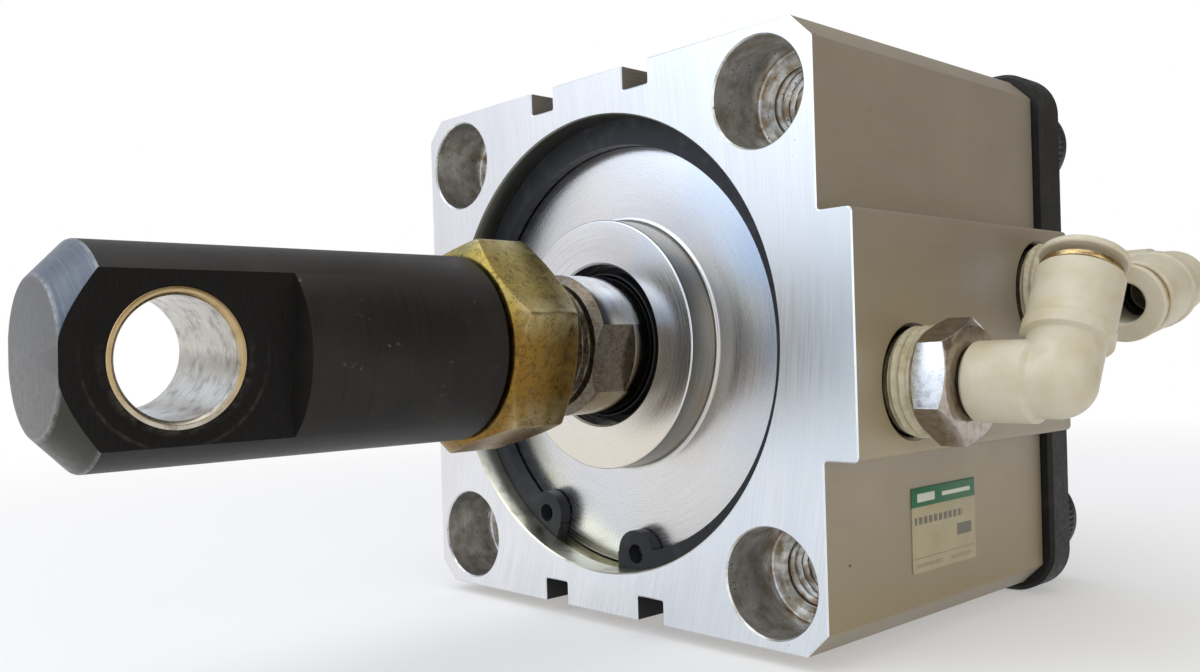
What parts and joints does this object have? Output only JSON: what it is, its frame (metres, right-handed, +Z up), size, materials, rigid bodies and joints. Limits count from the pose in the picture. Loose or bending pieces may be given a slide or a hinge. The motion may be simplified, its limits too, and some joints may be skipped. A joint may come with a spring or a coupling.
{
  "type": "pneumatic cylinder",
  "caption": "Compact double-acting pneumatic cylinder: square body, short-stroke rod with lock nut and rod eye, swivelling push-in elbows and a rear mounting plate.",
  "frame": {"origin": "centre of the rear plate's back face, on the rod axis", "axes": "+Y along the rod axis towards the rear (the rod points to -Y), +Z up, +X towards the port side"},
  "size_m": [0.1342, 0.1878, 0.102],
  "materials": {
    "anodised_body": "matte anodised sides, machined front face",
    "machined_aluminium": "turned bright",
    "nitrile_rubber": "matte",
    "spring_steel": "phosphated, oiled",
    "bearing_bronze": "sintered",
    "wear_resin": "satin",
    "hard_chrome": "ground and chromed",
    "plain_steel": "plain",
    "black_screw": "black oxide",
    "yellow_zinc": "yellow chromate on steel, worn",
    "black_oxide": "black oxide on steel",
    "bush_steel": "ground",
    "black_paint": "satin black",
    "label_film": "printed film",
    "nickel_plate": "nickel plated brass",
    "thread_sealant": "dried sealant",
    "ivory_resin": "moulded, slightly yellowed"
  },
  "bodies": {
    "barrel": {"cylinder_body": "anodised_body", "rod_cover": "machined_aluminium", "rod_cover_o_ring": "nitrile_rubber", "retaining_ring": "spring_steel", "rod_bush": "bearing_bronze", "rod_seal": "nitrile_rubber", "front_cushion": "nitrile_rubber", "rear_cushion": "nitrile_rubber", "rear_plate": "black_paint", "rear_plate_screw_1": "black_screw", "rear_plate_screw_2": "black_screw", "rear_plate_screw_3": "black_screw", "rear_plate_screw_4": "black_screw", "label_plate": "label_film", "front_fitting_body": "nickel_plate", "front_thread_sealant": "thread_sealant", "front_swivel_o_ring": "nitrile_rubber", "rear_fitting_body": "nickel_plate", "rear_thread_sealant": "thread_sealant", "rear_swivel_o_ring": "nitrile_rubber"},
    "piston": {"piston": "machined_aluminium", "wear_ring": "wear_resin", "piston_seal": "nitrile_rubber"},
    "rod": {"piston_rod": "hard_chrome", "piston_washer": "plain_steel", "piston_screw": "black_screw", "lock_nut": "yellow_zinc", "rod_eye": "black_oxide", "rod_eye_bush": "bush_steel"},
    "front_swivel": {"front_elbow": "ivory_resin", "front_tube_seal": "nitrile_rubber", "front_collet": "plain_steel", "front_guide_ring": "nickel_plate"},
    "front_sleeve": {"front_release_sleeve": "ivory_resin"},
    "rear_swivel": {"rear_elbow": "ivory_resin", "rear_tube_seal": "nitrile_rubber", "rear_collet": "plain_steel", "rear_guide_ring": "nickel_plate"},
    "rear_sleeve": {"rear_release_sleeve": "ivory_resin"}
  },
  "joints": [
    {"name": "rod_slide", "type": "slide", "parent": "barrel", "child": "piston", "axis": [0, -1, 0], "range_m": [0, 0.02]},
    {"name": "rod_turn", "type": "hinge", "parent": "piston", "child": "rod", "pos_m": [0, 0, 0], "axis": [0, -1, 0], "continuous": true},
    {"name": "front_elbow_turn", "type": "hinge", "parent": "barrel", "child": "front_swivel", "pos_m": [0.077, -0.064, -0.0075], "axis": [1, 0, 0], "continuous": true},
    {"name": "front_sleeve_press", "type": "slide", "parent": "front_swivel", "child": "front_sleeve", "axis": [0, -0.5, -0.866], "range_m": [0, 0.001], "stiffness_N_per_m": 800},
    {"name": "rear_elbow_turn", "type": "hinge", "parent": "barrel", "child": "rear_swivel", "pos_m": [0.077, -0.02, 0.0072], "axis": [1, 0, 0], "continuous": true},
    {"name": "rear_sleeve_press", "type": "slide", "parent": "rear_swivel", "child": "rear_sleeve", "axis": [0, 0.9848, 0.1736], "range_m": [0, 0.001], "stiffness_N_per_m": 800}
  ]
}
